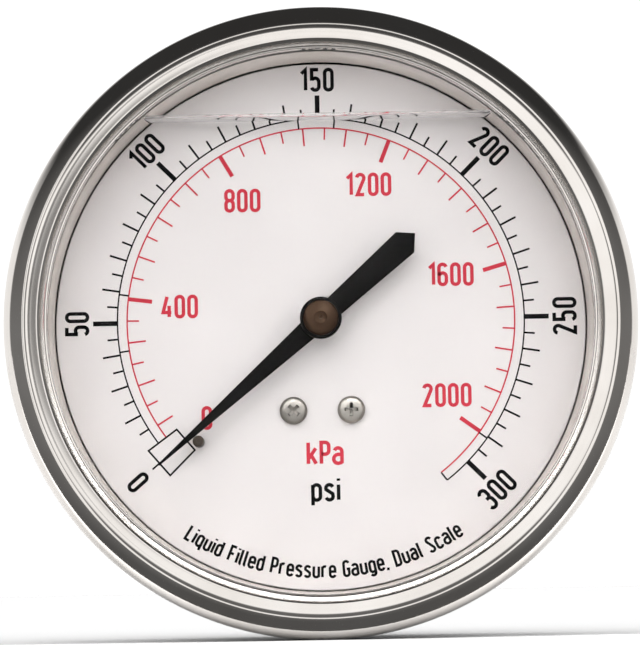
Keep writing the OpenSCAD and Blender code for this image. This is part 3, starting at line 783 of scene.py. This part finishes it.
# PSI_ZERO is the even scale's zero. The printed zero mark is at PRINT_ZERO, in the box where the pointer
# rests, and BRIDGES are short lines between the two arcs. All are clock angles.
PSI_FULL = 300
PSI_ZERO = 225.0
PSI_STEP = 0.9
KPA_STEP = 0.130534
BLACK_ARC_R = 35.8
RED_ARC_R = 34.1
LINE = 0.26
NUMERAL_R = 42.9
NUMERAL_H = 4.3
RED_NUMERAL_H = 4.2
BOX_R0, BOX_R1 = 31.8, 38.0
BOX_END = 233.7
PRINT_ZERO = 229.3
SCALE_END = PSI_ZERO + PSI_FULL * PSI_STEP + 7.8
BRIDGES = (261.8, 278.2, 354.4, 364.8, 486.5, SCALE_END)
NUMERAL_GAP = 0.245
RED_NUMERALS = {"400": (-24.8, 2.8), "800": (-13.5, 21.4), "1200": (8.8, 23.9), "1600": (23.0, 7.7),
                "2000": (21.9, -13.6), "0": (-20.3, -16.9)}


def print_black():
    ink = Print()
    ink.sweep(BLACK_ARC_R, BOX_END, SCALE_END, LINE)
    for psi in range(15, PSI_FULL + 1, 5):
        angle = PSI_ZERO + psi * PSI_STEP
        if psi % 50 == 0:
            ink.tick(BLACK_ARC_R, 40.1, angle, 0.84)
        elif psi % 10 == 0:
            ink.tick(BLACK_ARC_R, 38.9, angle, 0.36)
        else:
            ink.tick(BLACK_ARC_R, 37.7, angle, 0.34)
    box = [clock(BOX_R0, PSI_ZERO), clock(BOX_R1, PSI_ZERO), clock(BOX_R1, BOX_END), clock(BOX_R0, BOX_END),
           clock(BOX_R0, PSI_ZERO)]
    ink.ribbon(box, 0.32)
    ink.tick(38.0, 39.5, PRINT_ZERO, 0.32)
    for angle in BRIDGES:
        ink.tick(RED_ARC_R, BLACK_ARC_R, angle, 0.30)
    for psi in range(0, PSI_FULL + 1, 50):
        angle = PSI_ZERO + psi * PSI_STEP if psi else PRINT_ZERO
        turn = 180 - angle if psi >= 250 else -angle
        ink.word(str(psi), NUMERAL_H, clock(NUMERAL_R, angle), turn, NUMERAL_GAP)
    ink.word("psi", NUMERAL_H, (0.33, -29.8), 0, 0.22)
    ink.curved("Liquid Filled Pressure Gauge, Dual Scale", 3.0, 45.1, 180.2, 0.215, 0.155)
    ink.piece("dial_print_black", ink_black)


def print_red():
    ink = Print()
    ink.sweep(RED_ARC_R, BOX_END, SCALE_END, LINE)
    for kpa in range(100, 2001, 50):
        angle = PSI_ZERO + kpa * KPA_STEP
        if kpa % 400 == 0:
            ink.tick(29.9, RED_ARC_R, angle, 0.72)
        elif kpa % 100 == 0:
            ink.tick(31.0, RED_ARC_R, angle, 0.30)
        else:
            ink.tick(32.0, RED_ARC_R, angle, 0.28)
    for text, place in RED_NUMERALS.items():
        ink.word(text, RED_NUMERAL_H, place, 0, 0.235)
    ink.word("kPa", RED_NUMERAL_H * 1.04, (0.33, -23.4), 0, 0.22)
    ink.piece("dial_print_red", ink_red)


print_black()
print_red()

# -------- pointer
HUB_R = 3.65
CAP_R = 3.1
POINTER_TIP = 38.2
POINTER_TAIL = 22.3
TAIL_HALF_W = 2.4
CAP_RISE = 0.7


def make_pointer():
    shoulder = POINTER_TAIL - TAIL_HALF_W
    half = [(POINTER_TIP, 0.18), (3.0, 1.80)] + arc((0, 0), 3.4, 33, 147, 12) \
        + [(-3.4, 1.85), (-shoulder, TAIL_HALF_W), (-POINTER_TAIL, 0.0)]
    outline = half + [(u, -v) for u, v in reversed(half[:-1])]
    c, s = polar(1, 90 - ZERO_CLOCK)
    outline = [(u * c - v * s, u * s + v * c) for u, v in outline]
    blade = slab("needle_blade", outline, POINTER_Z, POINTER_TOP_Z, needle_black, 0.12, 30)
    place_piece(blade, "needle", "pointer_black", "pointer")


def make_hub():
    """The boss, and the domed cap in its top with a shallow dimple."""
    foot, top = POINTER_Z - 0.8, POINTER_TOP_Z + 2.0
    profile = [(1.0, foot), (2.5, foot), (2.6, foot + 0.1), (2.6, POINTER_Z - 0.01)]
    profile += [(HUB_R - 0.15, POINTER_TOP_Z + 0.01), (HUB_R, POINTER_TOP_Z + 0.16), (HUB_R, top - 0.3)]
    profile += arc((HUB_R - 0.3, top - 0.3), 0.3, 10, 90, 5)
    profile += [(CAP_R + 0.05, top), (CAP_R + 0.02, top - 0.6), (1.0, top - 0.6)]
    boss = lathe("needle_boss", profile, needle_black, turn=128, sharp=40)
    place_piece(boss, "needle", "pointer_black", "pointer_hub")
    peak = top + CAP_RISE
    dome = [(0, top - 0.6), (CAP_R, top - 0.6), (CAP_R, top - 0.15)]
    for a in range(10, 64, 6):
        c, s = polar(1, a)
        dome.append((CAP_R * c, top - 0.15 + (CAP_RISE + 0.15) * s ** 1.1))
    dome += [(1.1, peak), (0.95, peak - 0.12), (0.35, peak - 0.16), (0.25, peak - 0.4), (0, peak - 0.45)]
    place_piece(lathe("boss_cap", dome, cap_bronze, turn=128, sharp=40), "needle", "cap_brass", "hub_cap")


make_pointer()
make_hub()


# -------- case, plug and back screws
BACK_SCREW_CIRCLE = 14
PLUG_Z = 18.0
PLUG_NECK_R = 5.0
PLUG_HEAD_R = 7.0
PLUG_TOP = 53.1
BLOCK_TOP = 5.2


def back_screw_places():
    points = [polar(BACK_SCREW_CIRCLE, a) for a in (90, 210, 330)]
    return [(x, STEM_Y + y) for x, y in points]


def radial_mesh(profile):
    """An outline spun about an axis that points straight up out of the case's side, at the plug's place."""
    verts, faces = lathe_mesh(profile, (0, 0), 72)
    return [(x, z - RISE, PLUG_Z - y) for x, y, z in verts], faces


def make_case():
    rim = WINDOW_BACK_Z - RIM_GAP
    outer = [(0, 0.0), (CASE_R - 2.2, 0.0)] + arc((CASE_R - 2.2, 2.2), 2.2, -80, 0, 8)
    outer += [(CASE_R, rim - 2.6)] + arc((CASE_R + 0.9, rim - 2.1), 0.9, 180, 100, 5)
    outer += [(RIM_R - 0.2, rim - 1.2), (RIM_R, rim - 1.0), (RIM_R, rim), (CASE_IN_R, rim)]
    inner = [(CASE_IN_R, CASE_BACK + 1.4)] + arc((CASE_IN_R - 1.4, CASE_BACK + 1.4), 1.4, -10, -90, 6)
    inner += [(0, CASE_BACK)]
    case = lathe("case_cup", outer + inner, satin, CASE_C, sharp=40)
    notches = [ring_block("notch", CASE_R + 1, BEZEL_R + 1, rim - 2, rim + 0.5, (i + 0.5) * 360 / TAB_COUNT,
                          TAB_ANGLE + 6) for i in range(TAB_COUNT)]
    holes = [rod("hole", (0, STEM_Y), 10.2, -1, 3)]
    holes += [rod("hole", p, 1.65, -1, 3) for p in back_screw_places()]
    plug_hole = [(0, 46.0), (PLUG_NECK_R, 46.0), (PLUG_NECK_R, 54.0), (0, 54.0)]
    holes.append(object_from("plug_hole", *radial_mesh(plug_hole), satin))
    place_piece(cut(case, notches + holes, sharp=40), "root", "case_steel", "case")


def make_plug():
    """The rubber plug: a head shaped to the case's side, and a neck with a barb inside it."""
    r, edge = PLUG_NECK_R, 0.8
    head = [(0, 47.0), (PLUG_HEAD_R, 47.0), (PLUG_HEAD_R, PLUG_TOP - edge)]
    head += arc((PLUG_HEAD_R - edge, PLUG_TOP - edge), edge, 10, 90, 5)
    head += [(3.4, PLUG_TOP), (3.0, PLUG_TOP - 0.7), (0, PLUG_TOP - 0.7)]
    cap = object_from("plug_head", *radial_mesh(head), black_rubber)
    cap = cut(cap, [rod("case_shape", CASE_C, CASE_R, 0, 40, TURN)], sharp=40)
    barb = [(0, 46.6), (r - 0.4, 46.6), (r + 0.6, 47.4), (r, 48.6), (r, 50.0), (r - 0.1, 50.8), (0, 50.8)]
    neck = object_from("plug_neck", *radial_mesh(barb), black_rubber)
    place_piece(joined("plug_rubber", [cap, neck]), "root", "rubber_black", "fill_plug")


def make_back_screws():
    screws = [pan_screw(f"back_screw_{i}", p, 2.75, 0.0, 1.8, 3.0, 30 * i, 1.5, 4.2, -1)
              for i, p in enumerate(back_screw_places())]
    place_piece(joined("back_screw_set", screws), "root", "screw_steel", "socket_screws")


make_case()
make_plug()
make_back_screws()

# -------- stem with its thread
THREAD_R = 6.8
THREAD_PITCH = 25.4 / 18
THREAD_DEPTH = 0.95
THREAD_LEN = 16.0
THREAD_BORE_R = 3.0
THREAD_BORE = 5.9
HEX_FLATS = 17.0


def circle_points(r, around, z):
    """Points round the stem's axis at one height."""
    return [(x, STEM_Y + y, z) for x, y in (polar(r, 360 * i / around) for i in range(around))]


def thread_mesh():
    """A right-handed pipe thread as a wrapped grid that runs out before the relief groove."""
    around, along = 96, 150
    z_low, z_high = STEM_END_Z, STEM_END_Z + THREAD_LEN
    verts, faces = [], []
    for j in range(along + 1):
        t = j / along
        z = z_low + (z_high - z_low) * t
        for i in range(around):
            a = 2 * math.pi * i / around
            phase = ((z - z_low) / THREAD_PITCH - a / (2 * math.pi)) % 1.0
            ridge = min(1.0, max(0.0, 1.25 - abs(phase - 0.5) * 3.0))
            fade = min(1.0, max(0.0, (1.0 - t) * 9)) * min(1.0, t * 12)
            chamfer = max(0.0, 1.1 - (z - z_low))
            r = THREAD_R - THREAD_DEPTH * (1 - ridge) * fade
            r = min(r, THREAD_R - chamfer) - 0.35 * max(0.0, 1 - t * 2) * fade
            verts.append((r * math.cos(a), STEM_Y + r * math.sin(a), z))
    for j in range(along):
        for i in range(around):
            k = (i + 1) % around
            faces.append([j * around + i, j * around + k, (j + 1) * around + k, (j + 1) * around + i])
    bottom = len(verts)
    floor = bottom + around
    for z in (z_low, z_low + THREAD_BORE):
        verts += circle_points(THREAD_BORE_R, around, z)
    for i in range(around):
        k = (i + 1) % around
        faces.append([i, bottom + i, bottom + k, k])
        faces.append([bottom + i, floor + i, floor + k, bottom + k])
    faces.append(list(range(floor, floor + around)))
    faces.append([along * around + i for i in range(around)])
    return verts, faces


def hex_mesh(z0, z1):
    """A hexagon whose corners are turned off at both ends."""
    r = HEX_FLATS / 2 / math.cos(math.radians(30))
    steps, verts, faces = 16, [], []
    levels = [(z0, 0.0), (z0 + 0.9, 1.0), (z1 - 0.9, 1.0), (z1, 0.0)]
    count = 6 * steps
    for z, full in levels:
        for i in range(count):
            a = 360 * i / count
            local = (a % 60) - 30
            flat_r = HEX_FLATS / 2 / math.cos(math.radians(local))
            limit = r if full else HEX_FLATS / 2 * 1.01
            p = polar(min(flat_r, limit), a + 30)
            verts.append((p[0], STEM_Y + p[1], z))
    for j in range(3):
        for i in range(count):
            k = (i + 1) % count
            faces.append([j * count + i, j * count + k, (j + 1) * count + k, (j + 1) * count + i])
    faces += [list(range(count)), list(range(3 * count, 4 * count))]
    return verts, faces


def make_stem():
    """The stem outside the case, and inside it the flange and the block, which is slotted for the tube."""
    centre, top = (0, STEM_Y), STEM_END_Z + THREAD_LEN
    thread = object_from("thread", *thread_mesh(), turned_steel, 50)
    groove = [(0, top - 0.5), (5.6, top - 0.5), (5.6, top + 2.2), (0, top + 2.2)]
    relief = lathe("relief", groove, turned_steel, centre, 96)
    nut = object_from("hexagon", *hex_mesh(top + 2, -2), turned_steel, 20)
    neck = [(0, -2.05), (9.7, -2.05), (10.0, -1.8), (10.0, CASE_BACK), (16.0, CASE_BACK), (16.0, BLOCK_TOP),
            (0, BLOCK_TOP)]
    flange = lathe("flange", neck, turned_steel, centre, 128)
    block = slab("block", [(-9, -38), (9, -38), (9, -21), (-9, -21)], 5.1, 20.0, turned_steel, 0.4)
    tube_slot = lathe("slot", [(31.4, 6.9), (36.6, 6.9), (36.6, 19.1), (31.4, 19.1)], turned_steel)
    keep = slab("keep", [(-60, -60), (-4.6, -60), (-4.6, 60), (-60, 60)], 0, 30, turned_steel)
    cut(tube_slot, [keep], "INTERSECT")
    cut(block, [tube_slot])
    holes = [rod("hole", p, 1.6, 1.0, 4.9) for p in back_screw_places()]
    cut(flange, holes)
    stem = joined("stem_and_block", [thread, relief, nut, flange, block])
    place_piece(stem, "root", "socket_steel", "socket")


make_stem()


# -------- the two springs
TUBE_R = 34.0
TUBE_THIN = 5.0
TUBE_WALL = 0.6
TUBE_ROOT = 262.0
TUBE_TIP = -15.0
TUBE_HELD = 250.0
TUBE_TIP_HELD = 5.0
SPRING_TURNS = 5
SPRING_IN_R = 1.92
SPRING_OUT_R = 8.2
SPRING_T = 0.16
STUD_ANGLE = 100.0


def bend_along(piece):
    """Bakes the piece's placement into its points; it does not bend it."""
    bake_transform(piece)


def swept_band(name, sections, material, capped):
    """Closed sections joined one after the other, with faces on the two ends if capped."""
    n = len(sections[0])
    verts = [p for section in sections for p in section]
    faces = []
    for j in range(len(sections) - 1):
        for i in range(n):
            k = (i + 1) % n
            faces.append([j * n + i, j * n + k, (j + 1) * n + k, (j + 1) * n + i])
    if capped:
        faces += [list(range(n))[::-1], list(range(len(verts) - n, len(verts)))]
    return object_from(name, verts, faces, material, 40)


def tube_outline(inset):
    """The tube's flattened section as (r, z) points."""
    low, high = (depth_of(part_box("bourdon_tube")[k][1]) for k in (1, 0))
    r = TUBE_THIN / 2 - inset
    reach = (high - low - TUBE_THIN) / 2
    middle = (high + low) / 2
    return arc((TUBE_R, middle + reach), r, 0, 180, 12) + arc((TUBE_R, middle - reach), r, 180, 360, 12)


def make_tube():
    """The C-shaped tube: out along its outside, back along its bore. Each point's share of the way from where
    the block holds it to its tip is worked out, but nothing uses it."""
    steps = 150
    sections, shares = [], []
    for inset, order in ((0.0, range(steps + 1)), (TUBE_WALL, range(steps, -1, -1))):
        outline = tube_outline(inset)
        for j in order:
            t = j / steps
            c, s = polar(1, TUBE_ROOT + (TUBE_TIP - TUBE_ROOT) * t)
            sections.append([(r * c, r * s, z) for r, z in outline])
    sections.append(sections[0])
    tube = swept_band("bourdon_spring", sections, tube_steel, False)
    for v in tube.data.vertices:
        x, y = (v.co.x - AXIS_X) / MM, (v.co.z - AXIS_Z) / MM
        angle = (math.degrees(math.atan2(y, x)) - TUBE_TIP + 1) % 360 + TUBE_TIP - 1
        t = min(1.0, max(0.0, (TUBE_HELD - angle) / (TUBE_HELD - TUBE_TIP - TUBE_TIP_HELD)))
        shares.append(t * t * (3 - 2 * t))
    bend_along(tube)
    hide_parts("bourdon_tube")


def make_hairspring():
    low, high = (depth_of(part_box("hairspring")[k][1]) for k in (1, 0))
    steps = 60 * SPRING_TURNS
    sections = []
    for j in range(steps + 1):
        t = j / steps
        r = SPRING_IN_R + (SPRING_OUT_R - SPRING_IN_R) * t
        c, s = polar(1, STUD_ANGLE + 360 * SPRING_TURNS * t)
        sections.append([((r + dr) * c, (r + dr) * s, z) for dr, z in
                         ((0, low), (SPRING_T, low), (SPRING_T, high), (0, high))])
    spring = swept_band("hairspring_coil", sections, spring_bronze, True)
    for v in spring.data.vertices:
        r = math.hypot(v.co.x - AXIS_X, v.co.z - AXIS_Z) / MM
    bend_along(spring)
    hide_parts("hairspring")


make_tube()
make_hairspring()


# -------- inner pieces keep their CAD shape
def dress(material, *nodes):
    for name in nodes:
        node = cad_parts[name]
        if not node.data.materials:
            node.data.materials.append(material)
        for slot in node.material_slots:
            slot.material = material


dress(movement_brass, "front_plate", "back_plate", "plate_pillars", "sector_gear", "link", "dial_posts",
      "hairspring_collet", "hairspring_stud", "restrictor_screw")
dress(arbor_steel, "pinion", "pinion_bushes", "sector_bushes", "sector_arbor", "sector_pin", "tip_pin")
dress(screw_steel, "plate_screws", "movement_screws")
dress(tube_steel, "tube_tip")
dress(black_rubber, "socket_seal")


# -------- floor and light
FLOOR_HALF = 3.0
FLOOR_EDGE = 1.1
# Painted light: the floor's colour is lighter in a strip along its front edge (the strip's depth in
# millimetres, then the colour at the edge and the colour behind it), painted over the gauge's contact shadow.
FLOOR_PAINTED_LIGHT_STRIP = 12.0
FLOOR_PAINTED_LIGHT_LEVELS = (0.36, 0.17)


def make_floor():
    """A pale floor that starts just behind the bezel's front, so the bezel doesn't mirror it from below. Its
    colour is painted lighter in a strip along the front edge: painted light over the gauge's contact shadow
    there.
    """
    z = bezel_low.z
    half = FLOOR_HALF
    edge = bezel_low.y + FLOOR_EDGE * MM
    mesh = bpy.data.meshes.new("floor")
    corners = [(-half, edge, z), (half, edge, z), (half, half, z), (-half, half, z)]
    mesh.from_pydata(corners, [], [(0, 1, 2, 3)])
    material, graph, sockets = new_material("floor_white_painted_light")
    sockets["Roughness"].default_value = 0.9
    y = graph.add("SeparateXYZ", graph.add("TexCoord").outputs["Object"]).outputs["Y"]
    # Painted light: the colour is lighter by the front edge and fades to the plain floor behind, which hides
    # the contact shadow along the edge.
    graph.feed(sockets["Base Color"], graph.fade(y, (edge, edge + FLOOR_PAINTED_LIGHT_STRIP * MM), *FLOOR_PAINTED_LIGHT_LEVELS))
    mesh.materials.append(material)
    floor = bpy.data.objects.new("floor", mesh)
    bpy.context.collection.objects.link(floor)


# The world in directions: x to the right, y away from the camera, z up. Each edge is a (start, end) pair.
BACKDROP = 1.05
BACK_EDGE = (0.02, 0.12)
BACK_TOP = (0.30, 0.60)
WALL_LEVELS = (1.15, 1.25)
WALL_SIDE = (0.38, 0.45)
WALL_TOP = (0.24, 0.34)
WALL_FOOT = (-0.22, -0.12)
WALL_FRONT = (-0.1, -0.2)
STRIP_DEPTH = 0.8
STRIP_LEFT = (-0.19, -0.15)
STRIP_RIGHT = (-0.04, -0.02)
STRIP_FOOT = (0.02, 0.07)
STRIP_TOP = (0.13, 0.20)
BELT_LEVELS = (0.20, 0.035, 0.10)
BELT_FADE = (0.1, 0.65)
DOME_LEVELS = (1.4, 8.4)
DOME_RANGE = (0.05, 0.8)
GAP_DIRECTION = (0.0, -0.9957, 0.0924)
GAP_EDGE = (0.986, 0.990)
SEEN_LEVEL = 1.1


def mirrored_room(graph, x, y, z):
    """What polished metal mirrors: a bright wall in front with a dim strip on its left, a pale backdrop
    behind, and a dark belt between them that is darkest overhead."""
    strip = graph.product(graph.fade(x, STRIP_LEFT, 0.0, STRIP_DEPTH), graph.fade(x, STRIP_RIGHT, 1.0, 0.0),
                          graph.fade(z, STRIP_FOOT), graph.fade(z, STRIP_TOP, 1.0, 0.0))
    lit = graph.product(graph.without(strip), graph.fade(z, (-0.05, 0.25), *WALL_LEVELS))
    side = graph.maths("ABSOLUTE", x)
    wall = graph.product(graph.fade(side, WALL_SIDE, 1.0, 0.0), graph.fade(y, WALL_FRONT),
                         graph.fade(z, WALL_TOP, 1.0, 0.0), graph.fade(z, WALL_FOOT))
    level, overhead, below = BELT_LEVELS
    start, end = BELT_FADE
    above = graph.fade(z, BELT_FADE, level, overhead)
    belt = graph.maths("MINIMUM", above, graph.fade(z, (-start, -end), level, below))
    back = graph.product(graph.fade(y, BACK_EDGE), graph.fade(z, BACK_TOP, 1.0, 0.0))
    return wall, lit, graph.mixed(back, belt, BACKDROP)


def make_world():
    """A studio with one light for each kind of ray: the mirrored room for reflections on metal, a soft dome
    for all light on dull surfaces and through the window, with a small dark gap that only the flat window
    mirrors, and plain white for the camera."""
    world = bpy.data.worlds.new("studio")
    bpy.context.scene.world = world
    world.cycles.sampling_method = "NONE"
    world.use_nodes = True
    graph = Graph(world.node_tree)
    direction = graph.add("TexCoord").outputs["Generated"]
    x, y, z = graph.add("SeparateXYZ", direction).outputs
    path = graph.add("LightPath")
    towards = graph.add("VectorMath", direction, GAP_DIRECTION, operation="DOT_PRODUCT").outputs["Value"]
    open_part = graph.without(graph.product(graph.fade(towards, GAP_EDGE), path.outputs["Is Singular Ray"]))
    wall, lit, rest = mirrored_room(graph, x, y, z)
    room = graph.mixed(wall, rest, graph.product(lit, open_part))
    dome = graph.product(graph.fade(z, DOME_RANGE, *DOME_LEVELS), open_part)
    through = path.outputs["Is Transmission Ray"]
    mirrored = graph.product(path.outputs["Is Glossy Ray"], graph.without(through))
    light = graph.mixed(mirrored, dome, room)
    strength = graph.mixed(path.outputs["Is Camera Ray"], light, SEEN_LEVEL)
    background = world.node_tree.nodes["Background"].inputs
    background["Color"].default_value = (1, 1, 1, 1)
    graph.feed(background["Strength"], strength)


make_floor()
make_world()
